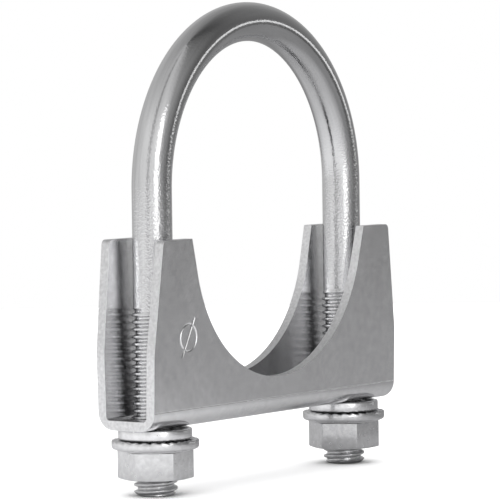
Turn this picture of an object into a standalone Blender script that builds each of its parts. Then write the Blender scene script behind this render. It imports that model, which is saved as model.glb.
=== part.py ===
"""Saddle-type U-bolt pipe clamp: a threaded U-bolt, a stamped saddle, two spring washers, two flange nuts.

Frame: metres, +Z up.  The legs of the U run along Z and stand apart along X; the clamped pipe runs along Y.
The origin is midway between the legs, on the plane of the rod's two ends, which is the lowest plane.
"""

from math import atan, ceil, cos, degrees, floor, pi, radians, sin, tan

import bmesh
import bpy
from mathutils import Vector

MM = 0.001
GAP = 0.3 * MM                      # left between faces that touch on the real clamp
SHARP_ANGLE = 35                    # degrees between faces that stay a sharp edge when shaded

# The pipe, and the rod that goes round it
PIPE_DIAMETER = 63.5 * MM
ROD_RADIUS = 4.325 * MM             # plain shank of a rolled-thread rod
LEG_OFFSET = PIPE_DIAMETER / 2 + 4.75 * MM
LEG_LENGTH = 65.3 * MM              # from the rod's ends to the centre of the bend
BEND_STEPS = 36
ROD_SIDES = 20

# Rolled thread, 16 to the inch, right-handed
THREAD_PITCH = 25.4 / 16 * MM
THREAD_CREST = 4.7 * MM
THREAD_ROOT = 3.9 * MM
THREAD_LENGTH = 40.0 * MM
THREAD_FADE = 2.5 * MM              # length over which the last turns run out into the shank
THREAD_START = 0.2 * MM             # height of the first root above the rod's end
ROWS_PER_TURN = 2                   # one row of points on the root, one on the crest
ROD_END_RADIUS = 3.9 * MM
THREAD_CLEARANCE = 0.3 * MM         # radial, between rod and nut

# Hexagon flange nuts
NUT_BOTTOM = 3.6 * MM
NUT_HEIGHT = 8.5 * MM
NUT_ACROSS_FLATS = 14.29 * MM
FLANGE_RADIUS = 9.45 * MM
FLANGE_RIM = 1.9 * MM
FLANGE_CONE = 1.1 * MM              # height of the cone between the rim and the hexagon
NUT_CHAMFER = 30                    # degrees, on the free face
TEETH = 27                          # serrations on the flange's bearing face
TOOTH_DEPTH = 0.45 * MM
TOOTH_INNER_RADIUS = 6.6 * MM       # where the teeth run out towards the bore
NUT_TURNS = {"left": 34.2, "right": 25.3}   # degrees from +X to the normal of one flat
ROUND_STEPS = 40

# Spring washers
WASHER_RADIUS = 8.0 * MM
WASHER_BORE = 5.05 * MM
WASHER_THICKNESS = 1.9 * MM
WASHER_EDGE = 0.3 * MM
WASHER_SPLIT = 1.2 * MM
WASHER_SPLIT_ANGLES = {"left": 52, "right": 20}   # degrees from +X to the split

# Stamped saddle
SHEET = 2.1 * MM
SADDLE_WIDTH = 14.9 * MM            # across the bends
WALL_SPLAY = 0.8 * MM               # how far each wall leans out at its top edge
SADDLE_HEIGHT = 40.5 * MM
SADDLE_LENGTH = 93.4 * MM
SADDLE_TOP_LENGTH = 87.2 * MM
TAPER_HEIGHT = 16.5 * MM            # where the ends start to lean in, above the underside
TAPER_BLEND = 20.0 * MM             # radius of the soft knee there
TOP_CORNER = 1.2 * MM
BEND_OUTER = 3.9 * MM
CRADLE_PLAY = 0.45 * MM             # between the pipe and the cradle, all round
CRADLE_RADIUS = PIPE_DIAMETER / 2 + CRADLE_PLAY
CRADLE_DROP = 0.3 * MM              # how far the pipe's centre is above the saddle's top edges
CRADLE_HALF_ANGLE = 75              # degrees of arc each side of the lowest point, then straight tangents
HOLE_RADIUS = 5.15 * MM
HOLE_STEPS = 32
BEND_ARC_STEPS = 6                  # a quarter turn of the channel's outer bend
CORNER_STEPS = 4
CRADLE_STEPS = 40
OVERCUT = 1 * MM                    # how far cutters pass the faces that they cut

WASHER_BOTTOM = NUT_BOTTOM + NUT_HEIGHT + GAP
SADDLE_BOTTOM = WASHER_BOTTOM + WASHER_THICKNESS + GAP
SIDES = {"left": -1, "right": 1}


def clear_scene():
    for old in list(bpy.data.objects):
        bpy.data.objects.remove(old, do_unlink=True)


def plated_steel(name, shade, roughness):
    """Bright zinc-plated steel."""
    made = bpy.data.materials.new(name)
    made.use_nodes = True
    shader = made.node_tree.nodes["Principled BSDF"]
    shader.inputs["Base Color"].default_value = (shade, shade, shade * 1.02, 1)
    shader.inputs["Roughness"].default_value = roughness
    shader.inputs["Metallic"].default_value = 1.0
    return made


def add_object(name, bm, location, material=None):
    """Turn a bmesh into an object; its points are relative to the location."""
    bmesh.ops.recalc_face_normals(bm, faces=bm.faces)
    mesh = bpy.data.meshes.new(name)
    bm.to_mesh(mesh)
    bm.free()
    made = bpy.data.objects.new(name, mesh)
    made.location = location
    bpy.context.scene.collection.objects.link(made)
    if material:
        mesh.materials.append(material)
        mesh.shade_smooth()
        mesh.set_sharp_from_angle(angle=radians(SHARP_ANGLE))
    return made


def as_cutter(made):
    made.hide_render = True
    made.display_type = "WIRE"
    return made


def combine(target, other, operation):
    step = target.modifiers.new(operation.lower(), "BOOLEAN")
    step.operation = operation
    step.solver = "EXACT"
    step.object = as_cutter(other)


def prism(outline, extrude):
    """Closed solid from a flat outline of points and the vector that it is extruded along."""
    bm = bmesh.new()
    face = bm.faces.new([bm.verts.new(point) for point in outline])
    result = bmesh.ops.extrude_face_region(bm, geom=[face])
    moved = [item for item in result["geom"] if isinstance(item, bmesh.types.BMVert)]
    bmesh.ops.translate(bm, verts=moved, vec=extrude)
    return bm


def turned(profile, steps, start=0.0, sweep=2 * pi):
    """Solid turned about Z from a closed (radius, height) profile; a part turn gets flat ends."""
    bm = bmesh.new()
    full = abs(sweep - 2 * pi) < 1e-9
    rings = []
    for step in range(steps if full else steps + 1):
        angle = start + sweep * step / steps
        rings.append([bm.verts.new((r * cos(angle), r * sin(angle), z)) for r, z in profile])
    pairs = list(zip(rings, rings[1:]))
    if full:
        pairs.append((rings[-1], rings[0]))
    else:
        bm.faces.new(rings[0])
        bm.faces.new(rings[-1])
    for ring, following in pairs:
        join_rings(bm, ring, following)
    return bm


def disc_solid(profile, steps):
    """Solid turned about Z from an open (radius, height) profile whose two ends get flat caps."""
    bm = bmesh.new()
    rings = []
    for r, z in profile:
        angles = [2 * pi * step / steps for step in range(steps)]
        rings.append([bm.verts.new((r * cos(a), r * sin(a), z)) for a in angles])
    bm.faces.new(rings[0])
    bm.faces.new(rings[-1])
    for ring, following in zip(rings, rings[1:]):
        join_rings(bm, ring, following)
    return bm


def join_rings(bm, ring, following):
    count = len(ring)
    for i in range(count):
        j = (i + 1) % count
        bm.faces.new((ring[i], ring[j], following[j], following[i]))


def arc(centre, radius, first, last, steps):
    """Points on an arc, angles in degrees, both ends included."""
    angles = [radians(first + (last - first) * s / steps) for s in range(steps + 1)]
    return [(centre[0] + radius * cos(a), centre[1] + radius * sin(a)) for a in angles]


# --- thread -------------------------------------------------------------------------------------------

def thread_height(row, column):
    """Height of a thread point: the rows climb one pitch in each turn of the columns."""
    return THREAD_START + THREAD_PITCH * (row / ROWS_PER_TURN + column / ROD_SIDES)


def thread_grid(bm, place, first_row, last_row, radius_at):
    """Helical grid of points.  Column 0 continues the last column, one turn of rows higher."""
    grid = []
    for column in range(ROD_SIDES):
        line = []
        for row in range(first_row, last_row + 1):
            height = thread_height(row, column)
            line.append(bm.verts.new(place(radius_at(row, height), 2 * pi * column / ROD_SIDES, height)))
        grid.append(line)
    rows = len(grid[0])
    for column in range(ROD_SIDES):
        shift = 0 if column + 1 < ROD_SIDES else ROWS_PER_TURN
        here = grid[column]
        beside = grid[(column + 1) % ROD_SIDES]
        for row in range(rows - 1 - shift):
            bm.faces.new((here[row], beside[row + shift], beside[row + 1 + shift], here[row + 1]))
    return grid


def close_thread(bm, grid, low_ring, high_ring):
    """Join the stepped lower and upper edges of a helical grid to a plain ring at each end."""
    first, last = grid[0], grid[-1]
    top = len(first) - 1
    for column in range(ROD_SIDES - 1):
        bm.faces.new((low_ring[column], low_ring[column + 1], grid[column + 1][0], grid[column][0]))
        bm.faces.new((grid[column][top], grid[column + 1][top], high_ring[column + 1], high_ring[column]))
    bm.faces.new((low_ring[-1], low_ring[0], first[0], last[0]))
    bm.faces.new((last[top], first[top], high_ring[0], high_ring[-1]))
    for step in range(ROWS_PER_TURN):
        bm.faces.new((last[0], first[step], first[step + 1]))
        bm.faces.new((first[top], last[top - step], last[top - step - 1]))


def rod_thread_radius(row, height):
    """Rolled thread: chamfered at the rod's end and running out into the shank at the top."""
    cut = THREAD_ROOT if row % ROWS_PER_TURN == 0 else THREAD_CREST
    left = min(max((THREAD_LENGTH - height) / THREAD_FADE, 0.0), 1.0)
    full = ROD_RADIUS + (cut - ROD_RADIUS) * left
    return min(full, ROD_END_RADIUS + height)


def nut_thread_radius(row, height):
    cut = THREAD_ROOT if row % ROWS_PER_TURN == 0 else THREAD_CREST
    return cut + THREAD_CLEARANCE


def leg_place(side):
    """Polar placing about a leg; the left leg is the right one turned half round, not mirrored."""
    def place(radius, angle, height):
        return side * (LEG_OFFSET + radius * cos(angle)), side * radius * sin(angle), height
    return place


def plain_ring(bm, place, radius, height):
    return [bm.verts.new(place(radius, 2 * pi * c / ROD_SIDES, height)) for c in range(ROD_SIDES)]


# --- pieces -------------------------------------------------------------------------------------------

def add_leg(bm, side):
    """Threaded leg from its chamfered end up to the bend; gives back its open top ring."""
    place = leg_place(side)
    end_ring = plain_ring(bm, place, ROD_END_RADIUS, 0)
    bm.faces.new(end_ring)
    last_row = ceil((THREAD_LENGTH - THREAD_START) / THREAD_PITCH * ROWS_PER_TURN)
    shank_ring = plain_ring(bm, place, ROD_RADIUS, THREAD_LENGTH + 2 * THREAD_PITCH)
    grid = thread_grid(bm, place, 0, last_row, rod_thread_radius)
    close_thread(bm, grid, end_ring, shank_ring)
    top_ring = plain_ring(bm, place, ROD_RADIUS, LEG_LENGTH)
    join_rings(bm, shank_ring, top_ring)
    return top_ring


def make_u_bolt(material):
    bm = bmesh.new()
    right_top = add_leg(bm, SIDES["right"])
    left_top = add_leg(bm, SIDES["left"])
    previous = right_top
    for step in range(1, BEND_STEPS):
        turn = pi * step / BEND_STEPS
        outward = Vector((cos(turn), 0, sin(turn)))
        centre = Vector((0, 0, LEG_LENGTH)) + outward * LEG_OFFSET
        ring = []
        for column in range(ROD_SIDES):
            angle = 2 * pi * column / ROD_SIDES
            point = centre + (outward * cos(angle) + Vector((0, sin(angle), 0))) * ROD_RADIUS
            ring.append(bm.verts.new(point))
        join_rings(bm, previous, ring)
        previous = ring
    # the left leg's columns run the other way round, seen along the bend
    join_rings(bm, previous, [left_top[-column % ROD_SIDES] for column in range(ROD_SIDES)])
    return add_object("u_bolt", bm, (0, 0, 0), material)


def saddle_section():
    """Channel section across the saddle, as (y, z): base below, walls up and leaning out a little."""
    slope = WALL_SPLAY / (SADDLE_HEIGHT - BEND_OUTER)
    fold = degrees(atan(slope))
    corner = (SADDLE_WIDTH / 2 - BEND_OUTER, BEND_OUTER)
    outer = arc(corner, BEND_OUTER, -90, -fold, BEND_ARC_STEPS)
    inner = arc(corner, BEND_OUTER - SHEET, -fold, -90, CORNER_STEPS)
    top = [(y + (SADDLE_HEIGHT - z) * slope, SADDLE_HEIGHT) for y, z in (outer[-1], inner[0])]
    right = outer + top + inner
    return right + [(-y, z) for y, z in reversed(right)]


def saddle_elevation():
    """Side outline of the saddle, as (x, z): tapered ends, rounded corners, cradle for the pipe."""
    foot = SADDLE_LENGTH / 2
    head = SADDLE_TOP_LENGTH / 2
    lean = atan((foot - head) / (SADDLE_HEIGHT - TAPER_HEIGHT))
    knee = TAPER_HEIGHT - TAPER_BLEND * tan(lean / 2)
    corner = head - TOP_CORNER * (1 / cos(lean) - tan(lean))
    right = [(foot, -OVERCUT)]
    right += arc((foot - TAPER_BLEND, knee), TAPER_BLEND, 0, degrees(lean), CORNER_STEPS)
    right += arc((corner, SADDLE_HEIGHT - TOP_CORNER), TOP_CORNER, degrees(lean), 90, CORNER_STEPS)
    centre = (0, SADDLE_HEIGHT + CRADLE_DROP)
    swing = radians(CRADLE_HALF_ANGLE)
    mouth = CRADLE_RADIUS * sin(swing) + (CRADLE_RADIUS * cos(swing) - CRADLE_DROP) / tan(swing)
    right.append((mouth, SADDLE_HEIGHT))
    cradle = arc(centre, CRADLE_RADIUS, -90 + CRADLE_HALF_ANGLE, -90 - CRADLE_HALF_ANGLE, CRADLE_STEPS)
    return right + cradle + [(-x, z) for x, z in reversed(right)]


def make_saddle(material):
    end = SADDLE_LENGTH / 2 + OVERCUT
    channel = prism([(-end, y, z) for y, z in saddle_section()], (2 * end, 0, 0))
    saddle = add_object("saddle", channel, (0, 0, SADDLE_BOTTOM), material)
    outline = prism([(x, -SADDLE_WIDTH, z) for x, z in saddle_elevation()], (0, 2 * SADDLE_WIDTH, 0))
    combine(saddle, add_object("saddle_outline", outline, (0, 0, SADDLE_BOTTOM)), "INTERSECT")
    for name, side in SIDES.items():
        hole = disc_solid([(HOLE_RADIUS, -SHEET), (HOLE_RADIUS, 2 * SHEET)], HOLE_STEPS)
        place = (side * LEG_OFFSET, 0, SADDLE_BOTTOM)
        combine(saddle, add_object("hole_" + name, hole, place), "DIFFERENCE")
    return saddle


def make_washer(name, side, material):
    """Flattened spring washer: a ring with a narrow split."""
    inner, outer, top, edge = WASHER_BORE, WASHER_RADIUS, WASHER_THICKNESS, WASHER_EDGE
    profile = [
        (inner, 0), (outer - edge, 0), (outer, edge), (outer, top - edge), (outer - edge, top), (inner, top),
    ]
    opening = WASHER_SPLIT / outer
    start = radians(WASHER_SPLIT_ANGLES[name]) + opening / 2
    ring = turned(profile, ROUND_STEPS, start, 2 * pi - opening)
    return add_object("washer_" + name, ring, (side * LEG_OFFSET, 0, WASHER_BOTTOM), material)


def hexagon_blank():
    corner = NUT_ACROSS_FLATS / 2 / cos(pi / 6)
    outline = [(corner * cos(pi / 6 + pi / 3 * i), corner * sin(pi / 6 + pi / 3 * i), 0) for i in range(6)]
    return prism(outline, (0, 0, NUT_HEIGHT - FLANGE_RIM / 2))


def nut_chamfer_solid():
    """Coned disc that takes the corners off the hexagon's free face."""
    face = NUT_ACROSS_FLATS / 2
    reach = FLANGE_RADIUS
    rise = (reach - face) * tan(radians(NUT_CHAMFER))
    return disc_solid([(face, 0), (reach, rise), (reach, NUT_HEIGHT)], ROUND_STEPS)


def flange_solid():
    """Coned flange whose bearing face has V teeth, a crest and a root by turns, deepest at the rim."""
    bm = bmesh.new()
    rim, top, low = FLANGE_RADIUS, NUT_HEIGHT, NUT_HEIGHT - FLANGE_RIM
    soft = FLANGE_RIM / 4
    columns = 2 * TEETH
    rings = []
    for radius, height, dips in (
        (NUT_ACROSS_FLATS / 2, low - FLANGE_CONE, False), (rim - soft, low, False), (rim, low + soft, False),
        (rim, top - soft, True), (rim - soft, top, True), (TOOTH_INNER_RADIUS, top, False),
    ):
        ring = []
        for column in range(columns):
            angle = 2 * pi * column / columns
            depth = TOOTH_DEPTH if dips and column % 2 else 0.0
            ring.append(bm.verts.new((radius * cos(angle), radius * sin(angle), height - depth)))
        rings.append(ring)
    bm.faces.new(rings[0])
    bm.faces.new(rings[-1])
    for ring, following in zip(rings, rings[1:]):
        join_rings(bm, ring, following)
    return bm


def thread_tap(side):
    """Threaded solid that cuts a nut's bore, in step with the thread of its own leg."""
    first_turn = floor((NUT_BOTTOM - THREAD_START) / THREAD_PITCH) - 2
    last_turn = ceil((NUT_BOTTOM + NUT_HEIGHT - THREAD_START) / THREAD_PITCH) + 1
    first_row, last_row = first_turn * ROWS_PER_TURN, last_turn * ROWS_PER_TURN

    def place(radius, angle, height):
        return side * radius * cos(angle), side * radius * sin(angle), height - NUT_BOTTOM

    bm = bmesh.new()
    low_ring = plain_ring(bm, place, THREAD_ROOT, thread_height(first_row, -ROD_SIDES))
    high_ring = plain_ring(bm, place, THREAD_ROOT, thread_height(last_row, 2 * ROD_SIDES))
    bm.faces.new(low_ring)
    bm.faces.new(high_ring)
    close_thread(bm, thread_grid(bm, place, first_row, last_row, nut_thread_radius), low_ring, high_ring)
    return bm


def make_nut(name, side, material):
    place = (side * LEG_OFFSET, 0, NUT_BOTTOM)
    nut = add_object("nut_" + name, hexagon_blank(), place, material)
    nut.rotation_euler.z = radians(NUT_TURNS[name])
    combine(nut, add_object("nut_chamfer_" + name, nut_chamfer_solid(), place), "INTERSECT")
    combine(nut, add_object("nut_flange_" + name, flange_solid(), place), "UNION")
    combine(nut, add_object("nut_tap_" + name, thread_tap(side), place), "DIFFERENCE")
    return nut


def main():
    clear_scene()
    make_u_bolt(plated_steel("rod", 0.72, 0.22))
    make_saddle(plated_steel("saddle", 0.62, 0.30))
    for name, side in SIDES.items():
        make_washer(name, side, plated_steel("washer_" + name, 0.66, 0.28))
        make_nut(name, side, plated_steel("nut_" + name, 0.64, 0.30))


main()
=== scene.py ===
"""Looks of the saddle-type U-bolt clamp.

Zinc-plated steel: a bent threaded rod, a stamped saddle, spring washers and serrated flange nuts.
"""

from math import atan, ceil, cos, degrees, floor, pi, radians, sin, sqrt, tan

import bmesh
import bpy
from mathutils import Matrix, Vector


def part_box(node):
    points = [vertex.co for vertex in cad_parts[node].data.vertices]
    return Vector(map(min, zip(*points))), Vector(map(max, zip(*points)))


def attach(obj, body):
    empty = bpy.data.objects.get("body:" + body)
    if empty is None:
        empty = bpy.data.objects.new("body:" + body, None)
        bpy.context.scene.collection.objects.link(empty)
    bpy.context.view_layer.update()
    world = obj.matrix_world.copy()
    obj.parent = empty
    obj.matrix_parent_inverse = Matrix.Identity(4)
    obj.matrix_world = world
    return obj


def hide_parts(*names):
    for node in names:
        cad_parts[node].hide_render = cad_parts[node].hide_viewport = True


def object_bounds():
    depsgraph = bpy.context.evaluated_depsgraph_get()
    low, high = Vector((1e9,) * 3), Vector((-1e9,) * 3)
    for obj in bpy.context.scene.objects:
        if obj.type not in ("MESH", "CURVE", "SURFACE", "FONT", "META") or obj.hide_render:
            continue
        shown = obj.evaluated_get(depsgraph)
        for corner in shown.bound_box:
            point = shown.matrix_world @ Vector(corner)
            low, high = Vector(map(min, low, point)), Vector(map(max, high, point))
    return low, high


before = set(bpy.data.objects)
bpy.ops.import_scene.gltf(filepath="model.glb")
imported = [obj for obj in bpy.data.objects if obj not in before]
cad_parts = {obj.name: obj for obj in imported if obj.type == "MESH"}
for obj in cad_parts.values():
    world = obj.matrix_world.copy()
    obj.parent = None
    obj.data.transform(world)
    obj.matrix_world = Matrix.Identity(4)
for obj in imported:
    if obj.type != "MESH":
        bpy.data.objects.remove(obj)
CAD_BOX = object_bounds()

MM = 0.001
SIDES = {"left": -1, "right": 1}

# Places and sizes read from the frame
ROD_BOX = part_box("u_bolt")
SADDLE_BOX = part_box("saddle")
NUT_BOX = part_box("nut_right")
WASHER_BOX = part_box("washer_right")
LEG_OFFSET = (NUT_BOX[0].x + NUT_BOX[1].x) / 2
NUT_TOP = NUT_BOX[1].z
NUT_HEIGHT = NUT_BOX[1].z - NUT_BOX[0].z
FLANGE_RADIUS = (NUT_BOX[1].x - NUT_BOX[0].x) / 2
WASHER_RADIUS = (WASHER_BOX[1].x - WASHER_BOX[0].x) / 2
WASHER_BOTTOM = WASHER_BOX[0].z
WASHER_THICKNESS = WASHER_BOX[1].z - WASHER_BOX[0].z
SADDLE_BOTTOM = SADDLE_BOX[0].z
SADDLE_LENGTH = SADDLE_BOX[1].x - SADDLE_BOX[0].x
SADDLE_WIDTH = 14.9 * MM
WALL_SPLAY = (SADDLE_BOX[1].y - SADDLE_BOX[0].y - SADDLE_WIDTH) / 2
SADDLE_HEIGHT = SADDLE_BOX[1].z - SADDLE_BOX[0].z

# Rod and thread
ROD_RADIUS = 4.325 * MM
THREAD_CREST = (ROD_BOX[1].y - ROD_BOX[0].y) / 2
THREAD_ROOT = THREAD_CREST - 0.8 * MM
THREAD_PITCH = 25.4 / 16 * MM
THREAD_START = 0.2 * MM
THREAD_LENGTH = 40.0 * MM
THREAD_FADE = 2.6 * MM           # length over which the thread runs out
THREAD_ROWS = 12                 # rings in each turn of the thread
THREAD_FIRST_ROW = 0.15 * MM
THREAD_STEEPNESS = 1.45          # how much steeper than a plain wave the thread's sides are
THREAD_ROOT_CUT = 0.2            # how much of that wave the flat root takes
THREAD_PLAY = 0.25 * MM          # from the rod's thread to the nut's
ROD_END_RADIUS = 3.85 * MM
ROD_END_SLOPE = 1.1              # how fast the chamfer at a rod end widens with height
# The rim of a rod end: how far in from the end's radius, and how high
ROD_END_ROUND = [(0.4 * MM, 0.0), (0.1 * MM, 0.05 * MM)]
ROD_COLUMNS = 56
SHANK_ROWS = 12                  # rings on the plain part of a leg
BEND_STEPS = 128
GRAIN_FULL_BELOW = 55 * MM       # the rod's pits are deepest below this height
GRAIN_FADED_ABOVE = 85 * MM
BEND_HEIGHT = ROD_BOX[1].z - ROD_RADIUS - LEG_OFFSET

# Saddle
SHEET = 2.1 * MM
SADDLE_TOP_LENGTH = SADDLE_LENGTH - 6.2 * MM
TAPER_HEIGHT = 16.5 * MM         # the ends lean in above this height
TAPER_BLEND = 20.0 * MM          # radius between the upright and leaning parts
TOP_CORNER = 1.2 * MM
BEND_OUTER = 3.9 * MM
BEND_INNER = 0.9 * MM
BEND_OUTER_STEPS = 14
BEND_INNER_STEPS = 8
BEND_MARK = 0.12 * MM            # depth of the fold's mark
BEND_MARK_RISE = 0.1 * MM        # from the end of the bend up to the mark
CORNER_STEPS = 8
CRADLE_RADIUS = 32.2 * MM
CRADLE_DROP = 0.3 * MM           # the cradle's centre is this far above the walls
CRADLE_HALF_ANGLE = 75
CRADLE_STEPS = 96
HOLE_RADIUS = 5.15 * MM
HOLE_POINTS = 48
OVERSHOOT = 1 * MM               # how far the cutting shapes reach past the sheet
EDGE_ROUND = 0.28 * MM
EDGE_SEGMENTS = 3
EDGE_ANGLE = 40
STAMP_PLACE = (-34.6 * MM, 19.4 * MM)       # along the wall, and above the saddle's base
STAMP_RADIUS = 2.9 * MM
STAMP_POINTS = 60
STAMP_BAR = 10.0 * MM
STAMP_BAR_PLACES = (-1, -0.93, 0.93, 1)     # points of the bar, as shares of half its length
STAMP_LEAN = 28
STAMP_TOOL = 0.36 * MM           # radius of the rounded tool
STAMP_DEPTH = 0.2 * MM

# Washers
WASHER_FILL = 0.14 * MM          # how far a washer fills the gap above and below it
WASHER_BORE = 5.05 * MM
WASHER_SOFT = 0.38 * MM          # rounding of the section's corners
WASHER_SOFT_STEPS = 5
WASHER_SPLIT = 1.2 * MM
WASHER_SPLIT_AT = {"left": 52, "right": 20}
WASHER_SPLIT_SLANT = 0.6         # how slanting the split is, as a share of its width
WASHER_LIFT = 0.06 * MM          # how far each end is out of line
WASHER_STEPS = 120

# Nuts
NUT_HALF_FLATS = 14.29 / 2 * MM
NUT_TURNS = {"left": 34.2, "right": 25.3}
NUT_CHAMFER = 7
NUT_ROUND = 0.3 * MM             # rounding of the hexagon's corners
NUT_FREE_FACE = 0.97             # radius of the free face's flat, as a share of half the flats
NUT_BORE = 5.15 * MM
NUT_COLUMNS = 216
FLANGE_SIDE = 1.35 * MM          # from the top down to the end of the rim's upright side
FLANGE_SOFT_TOP = 0.28 * MM
FLANGE_SOFT_BOTTOM = 0.7 * MM
FLANGE_NECK = 8.35 * MM
# The face that bears on the washer: radius, height below the top, and share of a tooth's depth
BEARING_FACE = [(NUT_BORE, -0.55 * MM, 0), (5.6 * MM, -0.1 * MM, 0), (6.6 * MM, -0.05 * MM, 0),
                (7.4 * MM, 0, 0.6), (8.4 * MM, 0, 1)]
TEETH = 27
TOOTH_DEPTH = 0.3 * MM
TOOTH_RISE = 0.7                 # share of a tooth that its long side takes
NUT_THREAD_ROWS = 6
NUT_THREAD_FLAT = 0.12
NUT_THREAD_LOW = 0.5 * MM        # from the free face up to the first row
NUT_THREAD_HIGH = 0.75 * MM      # from the top down to the last row


# --- mesh helpers ---------------------------------------------------------------------------------------

def new_object(name, bm, smooth_angle=32):
    bmesh.ops.recalc_face_normals(bm, faces=bm.faces)
    mesh = bpy.data.meshes.new(name)
    bm.to_mesh(mesh)
    bm.free()
    mesh.shade_smooth()
    mesh.set_sharp_from_angle(angle=radians(smooth_angle))
    made = bpy.data.objects.new(name, mesh)
    bpy.context.scene.collection.objects.link(made)
    return made


def join_rings(bm, ring, following):
    count = len(ring)
    for i in range(count):
        j = (i + 1) % count
        bm.faces.new((ring[i], ring[j], following[j], following[i]))


def arc(centre, radius, first, last, steps):
    """Points on an arc, angles in degrees, both ends included."""
    angles = [radians(first + (last - first) * s / steps) for s in range(steps + 1)]
    return [(centre[0] + radius * cos(a), centre[1] + radius * sin(a)) for a in angles]


def circle(centre, radius, count):
    """Points evenly round a circle, the first not repeated."""
    return arc(centre, radius, 0, 360 - 360 / count, count - 1)


def loft_columns(bm, columns, closed):
    """Skin over columns of points; each column is a closed loop. 'closed' joins the last to the first."""
    pairs = list(zip(columns, columns[1:]))
    if closed:
        pairs.append((columns[-1], columns[0]))
    else:
        bm.faces.new(columns[0])
        bm.faces.new(columns[-1])
    for here, beside in pairs:
        join_rings(bm, here, beside)


def prism(outline, extrude):
    """Solid swept straight from a closed outline."""
    bm = bmesh.new()
    face = bm.faces.new([bm.verts.new(point) for point in outline])
    result = bmesh.ops.extrude_face_region(bm, geom=[face])
    moved = [item for item in result["geom"] if isinstance(item, bmesh.types.BMVert)]
    bmesh.ops.translate(bm, verts=moved, vec=extrude)
    return bm


def apply_modifiers(made):
    bpy.context.view_layer.update()
    shown = made.evaluated_get(bpy.context.evaluated_depsgraph_get())
    mesh = bpy.data.meshes.new_from_object(shown)
    made.modifiers.clear()
    made.data = mesh


def cut(target, other, operation):
    step = target.modifiers.new(operation, "BOOLEAN")
    step.operation = operation
    step.solver = "EXACT"
    step.object = other
    apply_modifiers(target)
    bpy.data.objects.remove(other, do_unlink=True)


# --- rod --------------------------------------------------------------------------------------------------

def thread_radius(height, share_of_turn):
    """Rolled right-hand thread: rounded crests, a chamfered start, running out into the shank."""
    phase = ((height - THREAD_START) / THREAD_PITCH - share_of_turn) % 1.0
    rise = 0.5 - 0.5 * cos(2 * pi * phase)
    form = min(max(THREAD_STEEPNESS * rise - THREAD_ROOT_CUT, 0.0), 1.0)
    full = THREAD_ROOT + (THREAD_CREST - THREAD_ROOT) * form
    left = min(max((THREAD_LENGTH + THREAD_PITCH * share_of_turn - height) / THREAD_FADE, 0.0), 1.0)
    left = left * left * (3 - 2 * left)
    return min(ROD_RADIUS + (full - ROD_RADIUS) * left, ROD_END_RADIUS + height * ROD_END_SLOPE)


def leg_heights():
    """Heights of the rings up one leg: close together over the thread, far apart on the plain shank."""
    fine = THREAD_PITCH / THREAD_ROWS
    top = THREAD_LENGTH + THREAD_PITCH + fine
    count = ceil((top - THREAD_FIRST_ROW) / fine)
    heights = [THREAD_FIRST_ROW + fine * step for step in range(count)]
    return heights + [top + (BEND_HEIGHT - top) * step / SHANK_ROWS for step in range(1, SHANK_ROWS + 1)]


def build_rod():
    """Threads, legs and bend as one tube; 'unbent' keeps each point's place on the straight bar."""
    bm = bmesh.new()
    unbent = bm.verts.layers.float_vector.new("unbent")
    shares = [column / ROD_COLUMNS for column in range(ROD_COLUMNS)]
    bend_length = pi * LEG_OFFSET

    def add_ring(radii, place, along, flip):
        ring = []
        for radius, share in zip(radii, shares):
            x, y = radius * cos(2 * pi * share), radius * sin(2 * pi * share)
            point = bm.verts.new(place(x, y))
            point[unbent] = (x, -y if flip else y, along)
            ring.append(point)
        return ring

    def add_leg(side):
        def place_at(height):
            return lambda x, y: (side * (LEG_OFFSET + x), side * y, height)

        def along_at(height):
            return height if side > 0 else 2 * BEND_HEIGHT + bend_length - height

        rings = []
        for inward, height in ROD_END_ROUND:
            radii = [ROD_END_RADIUS - inward] * ROD_COLUMNS
            rings.append(add_ring(radii, place_at(height), along_at(height), side < 0))
        bm.faces.new(rings[0])
        for height in leg_heights():
            radii = [thread_radius(height, share) for share in shares]
            rings.append(add_ring(radii, place_at(height), along_at(height), side < 0))
        for ring, following in zip(rings, rings[1:]):
            join_rings(bm, ring, following)
        return rings[-1]

    right_top, left_top = add_leg(SIDES["right"]), add_leg(SIDES["left"])
    previous = right_top
    for step in range(1, BEND_STEPS):
        turn = pi * step / BEND_STEPS
        outward = Vector((cos(turn), 0, sin(turn)))
        centre = Vector((0, 0, BEND_HEIGHT)) + outward * LEG_OFFSET
        along = BEND_HEIGHT + bend_length * step / BEND_STEPS
        ring = add_ring([ROD_RADIUS] * ROD_COLUMNS, lambda x, y: centre + outward * x + Vector((0, y, 0)),
                        along, False)
        join_rings(bm, previous, ring)
        previous = ring
    join_rings(bm, previous, [left_top[-column % ROD_COLUMNS] for column in range(ROD_COLUMNS)])
    return new_object("bent_threaded_rod", bm, smooth_angle=60)


# --- saddle ---------------------------------------------------------------------------------------------

def wall_slope():
    return WALL_SPLAY / (SADDLE_HEIGHT - BEND_OUTER)


def saddle_section():
    """Channel section as (y, z), walls leaning out a little, with the fold's mark above each bend."""
    slope = wall_slope()
    fold = degrees(atan(slope))
    corner = (SADDLE_WIDTH / 2 - BEND_OUTER, BEND_OUTER)
    outer = arc(corner, BEND_OUTER, -90, -fold, BEND_OUTER_STEPS)
    inside = (SADDLE_WIDTH / 2 - SHEET - BEND_INNER, SHEET + BEND_INNER)
    inner = arc(inside, BEND_INNER, -fold, -90, BEND_INNER_STEPS)
    y, z = outer[-1]
    mark = []
    for above, deep in ((0, 0), (BEND_MARK, BEND_MARK / 2), (2 * BEND_MARK, 0)):
        up = BEND_MARK_RISE + above
        mark.append((y + up * slope - deep, z + up))
    top = [(y + (SADDLE_HEIGHT - z) * slope, SADDLE_HEIGHT) for y, z in (outer[-1], inner[0])]
    right = outer + mark + top + inner
    return right + [(-y, z) for y, z in reversed(right)]


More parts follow.
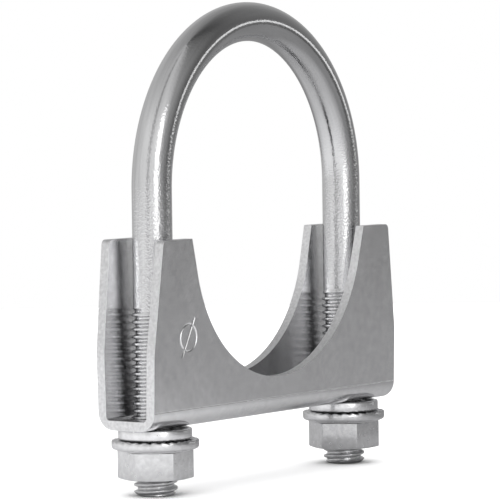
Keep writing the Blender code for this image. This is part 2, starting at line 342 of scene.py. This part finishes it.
def saddle_elevation():
    """Side outline as (x, z): tapered ends, rounded corners, cradle for the pipe."""
    foot = SADDLE_LENGTH / 2
    head = SADDLE_TOP_LENGTH / 2
    lean = atan((foot - head) / (SADDLE_HEIGHT - TAPER_HEIGHT))
    knee = TAPER_HEIGHT - TAPER_BLEND * tan(lean / 2)
    corner = head - TOP_CORNER * (1 / cos(lean) - tan(lean))
    right = [(foot, -OVERSHOOT)]
    right += arc((foot - TAPER_BLEND, knee), TAPER_BLEND, 0, degrees(lean), CORNER_STEPS)
    right += arc((corner, SADDLE_HEIGHT - TOP_CORNER), TOP_CORNER, degrees(lean), 90, CORNER_STEPS)
    swing = radians(CRADLE_HALF_ANGLE)
    mouth = CRADLE_RADIUS * sin(swing) + (CRADLE_RADIUS * cos(swing) - CRADLE_DROP) / tan(swing)
    right.append((mouth, SADDLE_HEIGHT))
    centre = (0, SADDLE_HEIGHT + CRADLE_DROP)
    cradle = arc(centre, CRADLE_RADIUS, -90 + CRADLE_HALF_ANGLE, -90 - CRADLE_HALF_ANGLE, CRADLE_STEPS)
    return right + cradle + [(-x, z) for x, z in reversed(right)]


def tube(path, radius, closed, sides=16):
    """Round tube along points that lie in the XZ plane; an open one tapers to a third at its ends."""
    turns = [2 * pi * side / sides for side in range(sides)]
    bm = bmesh.new()
    rings = []
    for i, point in enumerate(path):
        before = path[i - 1] if closed or i else point
        after = path[(i + 1) % len(path)] if closed or i + 1 < len(path) else point
        outward = (after - before).normalized().cross(Vector((0, 1, 0)))
        width = radius if closed or 0 < i < len(path) - 1 else radius / 3
        around_point = [outward * cos(turn) + Vector((0, sin(turn), 0)) for turn in turns]
        rings.append([bm.verts.new(point + offset * width) for offset in around_point])
    loft_columns(bm, rings, closed)
    return bm


def stamp_saddle(saddle):
    """Plain struck sign on the front wall, a ring crossed by a bar: it stands for a round pipe's size."""
    x, z = STAMP_PLACE
    slope = wall_slope()
    wall = SADDLE_WIDTH / 2 + (z - BEND_OUTER) * slope
    middle = Vector((x, -wall - (STAMP_TOOL - STAMP_DEPTH), z))
    lean = Matrix.Rotation(atan(slope), 3, "X")
    ring = [Vector((right, 0, up)) for right, up in circle((0, 0), STAMP_RADIUS, STAMP_POINTS)]
    along = Vector((sin(radians(STAMP_LEAN)), 0, cos(radians(STAMP_LEAN)))) * STAMP_BAR / 2
    bar = [along * share for share in STAMP_BAR_PLACES]
    for name, path, closed in (("stamp_ring", ring, True), ("stamp_bar", bar, False)):
        tool = tube([middle + lean @ point for point in path], STAMP_TOOL, closed)
        cut(saddle, new_object(name, tool), "DIFFERENCE")


def even_shading(made, angle):
    """Smooth shading in which the large faces stay flat."""
    made.data.shade_smooth()
    made.data.set_sharp_from_angle(angle=radians(angle))
    weigh = made.modifiers.new("weigh", "WEIGHTED_NORMAL")
    weigh.keep_sharp = True
    apply_modifiers(made)


def build_saddle():
    end = SADDLE_LENGTH / 2 + OVERSHOOT
    channel = prism([(-end, y, z) for y, z in saddle_section()], (2 * end, 0, 0))
    saddle = new_object("stamped_saddle", channel)
    sides = prism([(x, -SADDLE_WIDTH, z) for x, z in saddle_elevation()], (0, 2 * SADDLE_WIDTH, 0))
    cut(saddle, new_object("outline", sides), "INTERSECT")
    for side in SIDES.values():
        rim = circle((side * LEG_OFFSET, 0), HOLE_RADIUS, HOLE_POINTS)
        hole = prism([(x, y, -SHEET) for x, y in rim], (0, 0, 3 * SHEET))
        cut(saddle, new_object("hole", hole), "DIFFERENCE")
    bevel = saddle.modifiers.new("edges", "BEVEL")
    bevel.width = EDGE_ROUND
    bevel.segments = EDGE_SEGMENTS
    bevel.limit_method = "ANGLE"
    bevel.angle_limit = radians(EDGE_ANGLE)
    bevel.use_clamp_overlap = True
    apply_modifiers(saddle)
    stamp_saddle(saddle)
    even_shading(saddle, angle=35)
    saddle.data.transform(Matrix.Translation((0, 0, SADDLE_BOTTOM)))
    return saddle


# --- washers and nuts -----------------------------------------------------------------------------------

def washer_section(thick):
    """Square with rounded corners, as (radius, height)."""
    near, far = WASHER_BORE + WASHER_SOFT, WASHER_RADIUS - WASHER_SOFT
    low, high = WASHER_SOFT, thick - WASHER_SOFT
    section = []
    for corner, start in (((far, high), 0), ((near, high), 90), ((near, low), 180), ((far, low), 270)):
        section += arc(corner, WASHER_SOFT, start, start + 90, WASHER_SOFT_STEPS)
    return section


def build_washer(name, side):
    """Spring washer pressed nearly flat: its ends are a little apart and out of line."""
    thick = WASHER_THICKNESS + 2 * WASHER_FILL
    section = washer_section(thick)
    bottom = WASHER_BOTTOM - WASHER_FILL
    opening = WASHER_SPLIT / WASHER_RADIUS
    start = radians(WASHER_SPLIT_AT[name]) + opening / 2
    bm = bmesh.new()
    columns = []
    for step in range(WASHER_STEPS + 1):
        share = step / WASHER_STEPS
        lift = WASHER_LIFT * (2 * share - 1)
        loop = []
        for radius, height in section:
            slant = WASHER_SPLIT_SLANT * (height / thick - 0.5) * opening
            angle = start + (2 * pi - opening) * share + slant
            x, y = side * LEG_OFFSET + radius * cos(angle), radius * sin(angle)
            loop.append(bm.verts.new((x, y, bottom + height + lift)))
        columns.append(loop)
    loft_columns(bm, columns, False)
    return new_object("spring_washer_" + name, bm, smooth_angle=40)


def hexagon_radius(angle):
    """Distance from the axis to a hexagon with rounded corners, in the direction of the angle."""
    off = abs((angle + pi / 6) % (pi / 3) - pi / 6)
    straight = NUT_HALF_FLATS - NUT_ROUND
    if tan(off) <= straight * tan(pi / 6) / NUT_HALF_FLATS:
        return NUT_HALF_FLATS / cos(off)
    corner = straight / cos(pi / 6)
    lean = pi / 6 - off
    return corner * cos(lean) + sqrt(max(NUT_ROUND ** 2 - (corner * sin(lean)) ** 2, 0))


def tooth(angle):
    """Sawtooth from 0 at a crest to 1 at a root."""
    share = (angle * TEETH / (2 * pi)) % 1.0
    return share / TOOTH_RISE if share < TOOTH_RISE else (1 - share) / (1 - TOOTH_RISE)


def flange_outline(notch):
    """From the bore out over the toothed face and down the rim, as (radius, height below the top)."""
    top, bottom = FLANGE_SOFT_TOP, FLANGE_SOFT_BOTTOM
    points = [(r, z - share * notch) for r, z, share in BEARING_FACE]
    points += [(r, z - notch) for r, z in arc((FLANGE_RADIUS - top, -top), top, 90, 0, 3)]
    points.append((FLANGE_RADIUS, -0.75 * MM - 0.35 * notch))
    return points + arc((FLANGE_RADIUS - bottom, -FLANGE_SIDE), bottom, 0, -90, 6)


def hexagon_outline(hexagon):
    """From under the flange down the hexagon and in over the free face, measured as the flange is."""
    points = [(FLANGE_NECK, -2.14 * MM), (FLANGE_NECK - 0.06 * MM, -2.3 * MM)]
    points += [(min(hexagon, FLANGE_NECK) - 0.2 * MM, -2.42 * MM), (hexagon - 0.06 * MM, -2.47 * MM)]
    points += [(hexagon, -2.56 * MM), (hexagon, -5.0 * MM)]
    flat = NUT_HALF_FLATS * NUT_FREE_FACE
    edge = (hexagon - flat) * tan(radians(NUT_CHAMFER)) - NUT_HEIGHT
    points += [(hexagon, edge + 0.22 * MM), (hexagon - 0.05 * MM, edge + 0.07 * MM)]
    points += [(hexagon - 0.16 * MM, edge), (flat - 0.1 * MM, 0.02 * MM - NUT_HEIGHT)]
    points += [(flat - 0.3 * MM, -NUT_HEIGHT), (NUT_BORE + 0.3 * MM, -NUT_HEIGHT)]
    return points + [(NUT_BORE, 0.3 * MM - NUT_HEIGHT)]


def nut_bore(side, angle):
    """Internal thread from the free face up, in step with the rod's, as (radius, height below the top)."""
    low, high = NUT_TOP - NUT_HEIGHT + NUT_THREAD_LOW, NUT_TOP - NUT_THREAD_HIGH
    count = floor((high - low) / THREAD_PITCH * NUT_THREAD_ROWS)
    share_of_turn = (angle if side > 0 else angle - pi) / (2 * pi)
    points = []
    for step in range(count + 1):
        height = low + (high - low) * step / count
        phase = ((height - THREAD_START) / THREAD_PITCH - share_of_turn) % 1.0
        rise = 1 - abs(2 * phase - 1)
        form = min(max((rise - NUT_THREAD_FLAT) / (1 - 2 * NUT_THREAD_FLAT), 0.0), 1.0)
        radius = THREAD_ROOT + THREAD_PLAY + (THREAD_CREST - THREAD_ROOT) * form
        points.append((radius, height - NUT_TOP))
    return points


def build_nut(name, side):
    """Hexagon nut with a toothed flange, as columns of points round the thread's axis."""
    twist = radians(NUT_TURNS[name])
    middle = side * LEG_OFFSET
    bm = bmesh.new()
    columns = []
    for column in range(NUT_COLUMNS):
        angle = 2 * pi * column / NUT_COLUMNS + twist
        loop = flange_outline(TOOTH_DEPTH * tooth(angle)) + hexagon_outline(hexagon_radius(angle - twist))
        loop += nut_bore(side, angle)
        x_share, y_share = cos(angle), sin(angle)
        columns.append([bm.verts.new((middle + r * x_share, r * y_share, NUT_TOP + z)) for r, z in loop])
    loft_columns(bm, columns, True)
    return new_object("serrated_flange_nut_" + name, bm, smooth_angle=30)


# --- materials ------------------------------------------------------------------------------------------

NOISE_LOW, NOISE_HIGH = 0.3, 0.7     # the values that nearly all of a noise lies between


class Nodes:
    """Short way to add and link the shader nodes of a material or a world."""

    def __init__(self, owner):
        owner.use_nodes = True
        self.tree = owner.node_tree

    def add(self, kind, inputs=None, **settings):
        node = self.tree.nodes.new(kind)
        for key, value in settings.items():
            setattr(node, key, value)
        for key, value in (inputs or {}).items():
            socket = node.inputs[key]
            if isinstance(value, bpy.types.NodeSocket):
                self.tree.links.new(value, socket)
            else:
                socket.default_value = value
        return node

    def calculate(self, operation, first, second=0.0, third=0.0):
        inputs = {0: first, 1: second, 2: third}
        return self.add("ShaderNodeMath", inputs, operation=operation).outputs["Value"]

    def ramp(self, value, stops, low, high):
        """Grey ramp through the given (place, brightness) stops, for a value from 0 to 1."""
        node = self.add("ShaderNodeValToRGB", {"Fac": value})
        places = node.color_ramp.elements
        while len(places) < len(stops):
            places.new(0.5)
        for element, (place, shade) in zip(places, stops):
            element.position = (place - low) / (high - low)
            element.color = (shade, shade, shade, 1)
        return node.outputs["Color"]


class Paint(Nodes):
    """Nodes of one material."""

    def __init__(self, name):
        self.material = bpy.data.materials.new(name)
        super().__init__(self.material)
        self.shader = self.tree.nodes["Principled BSDF"]

    def coordinates(self, attribute=None, stretch=(1, 1, 1)):
        if attribute:
            source = self.add("ShaderNodeAttribute", attribute_name=attribute).outputs["Vector"]
        else:
            source = self.add("ShaderNodeTexCoord").outputs["Object"]
        return self.add("ShaderNodeMapping", {"Vector": source, "Scale": stretch}).outputs["Vector"]

    def noise(self, vector, scale, detail):
        inputs = {"Vector": vector, "Scale": scale, "Detail": detail, "Roughness": 0.5}
        return self.add("ShaderNodeTexNoise", inputs).outputs["Fac"]

    def spread(self, value, new_low, new_high, low=NOISE_LOW, high=NOISE_HIGH):
        inputs = {"Value": value, "From Min": low, "From Max": high, "To Min": new_low, "To Max": new_high}
        return self.add("ShaderNodeMapRange", inputs).outputs["Result"]

    def bump(self, height, distance, strength, normal=None):
        inputs = {"Height": height, "Distance": distance, "Strength": strength}
        if normal:
            inputs["Normal"] = normal
        return self.add("ShaderNodeBump", inputs).outputs["Normal"]

    def shades(self, value, dark, light, low=NOISE_LOW, high=NOISE_HIGH):
        """Greys from dark to light, very slightly blue."""
        node = self.add("ShaderNodeValToRGB", {"Fac": value})
        for element, place, shade in zip(node.color_ramp.elements, (low, high), (dark, light)):
            element.position = place
            element.color = (shade, shade, shade * 1.01, 1)
        return node.outputs["Color"]

    def finish(self, colour, roughness, normal):
        self.shader.inputs["Metallic"].default_value = 1.0
        self.tree.links.new(colour, self.shader.inputs["Base Color"])
        self.tree.links.new(roughness, self.shader.inputs["Roughness"])
        self.tree.links.new(normal, self.shader.inputs["Normal"])
        return self.material


def rod_steel():
    """Drawn and rolled rod: long streaks, and fine pits that break up the highlight low on the legs."""
    n = Paint("plated_drawn_rod")
    streaks = n.coordinates("unbent", stretch=(1, 1, 0.08))
    even = n.coordinates("unbent")
    colour = n.shades(n.noise(streaks, 900, 4), dark=0.57, light=0.67)
    roughness = n.spread(n.noise(even, 1300, 4), 0.07, 0.13)
    normal = n.bump(n.noise(streaks, 600, 3), 0.03 * MM, 0.4)
    along = n.add("ShaderNodeSeparateXYZ", {"Vector": even}).outputs["Z"]
    middle = BEND_HEIGHT + pi * LEG_OFFSET / 2
    from_bend = n.calculate("ABSOLUTE", n.calculate("SUBTRACT", along, middle))
    strength = n.spread(from_bend, 0.15, 0.9, middle - GRAIN_FADED_ABOVE, middle - GRAIN_FULL_BELOW)
    normal = n.bump(n.noise(even, 2200, 2), 0.12 * MM, strength, normal)
    return n.finish(colour, roughness, normal)


def sheet_steel():
    """Rolled sheet, plated after stamping: satin, faint rolling streaks, fine grain and scratches."""
    n = Paint("plated_rolled_sheet")
    rolling = n.coordinates(stretch=(1, 1, 0.12))
    even = n.coordinates()
    scuffs = n.coordinates(stretch=(0.12, 1, 1))
    colour = n.shades(n.noise(even, 700, 5), dark=0.81, light=0.93)
    roughness = n.spread(n.noise(even, 160, 4), 0.19, 0.25)
    normal = n.bump(n.noise(rolling, 1500, 3), 0.01 * MM, 0.4)
    normal = n.bump(n.noise(scuffs, 2400, 2), 0.01 * MM, 0.4, normal)
    return n.finish(colour, roughness, normal)


def cut_steel():
    """Sheared edge of the sheet: paler, grainy, striped through its thickness."""
    n = Paint("plated_sheared_edge")
    stripes = n.coordinates(stretch=(1, 0.15, 1))
    even = n.coordinates()
    colour = n.shades(n.noise(even, 1500, 4), dark=0.60, light=0.78)
    roughness = n.spread(n.noise(even, 2000, 3), 0.28, 0.42)
    normal = n.bump(n.noise(stripes, 2500, 3), 0.02 * MM, 0.5)
    normal = n.bump(n.noise(even, 3500, 2), 0.03 * MM, 0.6, normal)
    return n.finish(colour, roughness, normal)


def washer_steel():
    """Spring-steel wire, coiled and plated: faint bands round the rim."""
    n = Paint("plated_spring_washer")
    bands = n.coordinates(stretch=(0.15, 0.15, 1))
    even = n.coordinates()
    colour = n.shades(n.noise(even, 600, 4), dark=0.70, light=0.84)
    roughness = n.spread(n.noise(even, 1500, 3), 0.14, 0.28)
    normal = n.bump(n.noise(bands, 2500, 3), 0.02 * MM, 0.6)
    normal = n.bump(n.noise(even, 1800, 3), 0.02 * MM, 0.6, normal)
    return n.finish(colour, roughness, normal)


def nut_steel():
    """Cold-forged nut: smooth flats with small pits and faint drag lines."""
    n = Paint("plated_forged_nut")
    even = n.coordinates()
    drag = n.coordinates(stretch=(1, 1, 0.2))
    colour = n.shades(n.noise(even, 900, 5), dark=0.62, light=0.75)
    roughness = n.spread(n.noise(even, 1100, 4), 0.15, 0.28)
    normal = n.bump(n.noise(even, 1600, 4), 0.04 * MM, 0.6)
    normal = n.bump(n.noise(drag, 2600, 2), 0.01 * MM, 0.5, normal)
    return n.finish(colour, roughness, normal)


def dress_saddle(saddle):
    """Sheet material all over, and the sheared-edge material where the outline was cut."""
    mesh = saddle.data
    mesh.materials.clear()
    mesh.materials.append(sheet_steel())
    mesh.materials.append(cut_steel())
    for face in mesh.polygons:
        height = face.center.z - SADDLE_BOTTOM
        on_wall = abs(face.normal.y) >= 0.5
        on_base = height < SHEET + 0.05 * MM and abs(face.normal.z) > 0.6
        in_bend = height < BEND_OUTER and abs(face.normal.x) < 0.5
        face.material_index = 0 if on_wall or on_base or in_bend else 1


# --- studio ---------------------------------------------------------------------------------------------

CAMERA_AZIMUTH = radians(-54.8)
CAMERA_ELEVATION = radians(2.75)
CAMERA_ROLL = radians(-0.75)
CAMERA_DISTANCE = 0.767
CAMERA_LENS = 247.8
CAMERA_AIM_RIGHT = -0.17 * MM
CAMERA_AIM_UP = 51.1 * MM
LIGHT_AIM_UP = 0.05
FLOOR_RADIUS = 0.6
FLOOR_GAP = 0.05 * MM            # the floor lies this far below the rod's ends
FLOOR_COLOUR = (0.9, 0.9, 0.9, 1)
FLOOR_BRIGHT_SIDE = -40          # degrees to the right of the camera
FLOOR_RAMP = (-0.11, 0.12)       # from where to where its painted light grows, in metres towards that side
FLOOR_PAINTED_SHADES = (0.18, 0.65)      # painted shade and painted light of the floor as the metal reflects it


def add_camera():
    data = bpy.data.cameras.new("camera")
    data.lens = CAMERA_LENS
    data.sensor_width = 36.0
    data.clip_start = 0.05
    data.clip_end = 20
    camera = bpy.data.objects.new("camera", data)
    flat = cos(CAMERA_ELEVATION)
    back = Vector((sin(CAMERA_AZIMUTH) * flat, -cos(CAMERA_AZIMUTH) * flat, sin(CAMERA_ELEVATION)))
    right = Vector((cos(CAMERA_AZIMUTH), sin(CAMERA_AZIMUTH), 0))
    target = right * CAMERA_AIM_RIGHT + Vector((0, 0, CAMERA_AIM_UP))
    camera.location = target + back * CAMERA_DISTANCE
    camera.rotation_mode = "QUATERNION"
    turn = (-back).to_track_quat("-Z", "Y")
    camera.rotation_quaternion = turn @ Matrix.Rotation(CAMERA_ROLL, 4, "Z").to_quaternion()
    bpy.context.scene.collection.objects.link(camera)
    bpy.context.scene.camera = camera


def around(angle, elevation, distance):
    """Place seen from the object: degrees to the right of the camera's side, degrees up, metres away."""
    turn = CAMERA_AZIMUTH - pi / 2 + radians(angle)
    flat = distance * cos(radians(elevation))
    return Vector((flat * cos(turn), flat * sin(turn), LIGHT_AIM_UP + distance * sin(radians(elevation))))


def add_softbox(name, angle, elevation, distance, width, height, radiance):
    """Area light aimed at the object; radiance is how bright it looks in a mirror."""
    data = bpy.data.lights.new(name, "AREA")
    data.shape = "RECTANGLE"
    data.size = width
    data.size_y = height
    data.energy = radiance * pi * width * height
    made = bpy.data.objects.new(name, data)
    place = around(angle, elevation, distance)
    made.location = place
    made.rotation_mode = "QUATERNION"
    made.rotation_quaternion = (Vector((0, 0, LIGHT_AIM_UP)) - place).to_track_quat("-Z", "Y")
    made.visible_camera = False
    bpy.context.scene.collection.objects.link(made)
    return made


# Brightness all round the object, seen level: degrees to the right of the camera, and how bright
LIGHT_RING = [
    (-180, 0.50), (-120, 0.70), (-42, 0.98), (-30, 0.90), (-21, 0.45), (-12, 0.95),
    (20, 1.05), (42, 0.75), (56, 0.42), (96, 0.13), (125, 0.24), (180, 0.50)]
# The same, by the sine of the height above or below level
LIGHT_HEIGHT = [(-1.0, 0.5), (-0.2, 1.0), (0.5, 1.0), (1.0, 0.6)]


def add_world():
    """Grey light tent for reflections, brighter and darker by turns; the camera itself sees white."""
    world = bpy.data.worlds.new("studio")
    bpy.context.scene.world = world
    n = Nodes(world)
    n.tree.nodes.clear()
    direction = n.add("ShaderNodeTexCoord").outputs["Generated"]
    parts = n.add("ShaderNodeSeparateXYZ", {"Vector": direction}).outputs
    turn = n.calculate("ARCTAN2", parts["Y"], parts["X"])
    behind = CAMERA_AZIMUTH - pi / 2 - pi
    share = n.calculate("DIVIDE", n.calculate("SUBTRACT", turn, behind), 2 * pi)
    ring = n.ramp(n.calculate("FRACT", share), LIGHT_RING, -180, 180)
    level = n.calculate("MULTIPLY_ADD", parts["Z"], 0.5, 0.5)
    height = n.ramp(level, LIGHT_HEIGHT, -1, 1)
    tent = n.add("ShaderNodeBackground", {"Color": n.calculate("MULTIPLY", ring, height)})
    white = n.add("ShaderNodeBackground", {"Color": (1, 1, 1, 1)})
    seen = n.add("ShaderNodeLightPath").outputs["Is Camera Ray"]
    mix = n.add("ShaderNodeMixShader", {"Fac": seen, 1: tent.outputs[0], 2: white.outputs[0]})
    n.add("ShaderNodeOutputWorld", {"Surface": mix.outputs[0]})


def floor_paint():
    """Pale; in the metal's reflections its colour is painted lighter towards the light side of the studio
    and darker away from it.
    """
    n = Paint("pale_floor")
    n.shader.inputs["Roughness"].default_value = 0.9
    n.shader.inputs["Specular IOR Level"].default_value = 0.0
    place = n.add("ShaderNodeTexCoord").outputs["Object"]
    towards = around(FLOOR_BRIGHT_SIDE, 0, 1) - around(0, 0, 0)
    across = n.add("ShaderNodeVectorMath", {0: place, 1: towards}, operation="DOT_PRODUCT").outputs["Value"]
    # Painted light and shade: the floor's colour, seen only in reflections, grows lighter towards the
    # studio's light side.
    painted_reflected_light = n.shades(n.spread(across, 0.0, 1.0, *FLOOR_RAMP), *FLOOR_PAINTED_SHADES, 0.0, 1.0)
    glossy = n.add("ShaderNodeLightPath").outputs["Is Glossy Ray"]
    seen = n.add("ShaderNodeMix", {"Factor": glossy}, data_type="RGBA")
    seen.inputs["A"].default_value = FLOOR_COLOUR
    n.tree.links.new(painted_reflected_light, seen.inputs["B"])
    n.tree.links.new(seen.outputs["Result"], n.shader.inputs["Base Color"])
    return n.material


def add_floor():
    bm = bmesh.new()
    bm.faces.new([bm.verts.new((x, y, 0)) for x, y in circle((0, 0), FLOOR_RADIUS, 96)])
    disc = new_object("pale_floor", bm)
    disc.location.z = CAD_BOX[0].z - FLOOR_GAP
    disc.data.materials.append(floor_paint())


def light_studio():
    add_world()
    add_floor()
    add_softbox("key_right_of_camera", angle=27, elevation=8, distance=1.6,
                width=0.55, height=1.5, radiance=1.38)
    add_softbox("strip_right", angle=110, elevation=3.5, distance=1.8,
                width=0.8, height=0.17, radiance=0.95)
    fill = add_softbox("floor_fill", angle=0, elevation=90, distance=1.1,
                       width=2.2, height=2.2, radiance=2.4)
    fill.visible_glossy = False


# --- making it --------------------------------------------------------------------------------------------

def main():
    bpy.context.scene.view_settings.view_transform = "Standard"
    add_camera()
    light_studio()
    rod = build_rod()
    rod.data.materials.append(rod_steel())
    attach(rod, "u_bolt")
    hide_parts("u_bolt")
    saddle = build_saddle()
    dress_saddle(saddle)
    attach(saddle, "saddle")
    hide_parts("saddle")
    washer_paint, nut_paint = washer_steel(), nut_steel()
    for name, side in SIDES.items():
        washer = build_washer(name, side)
        washer.data.materials.append(washer_paint)
        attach(washer, "washer_" + name)
        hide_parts("washer_" + name)
        nut = build_nut(name, side)
        nut.data.materials.append(nut_paint)
        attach(nut, "nut_" + name)
        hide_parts("nut_" + name)


main()
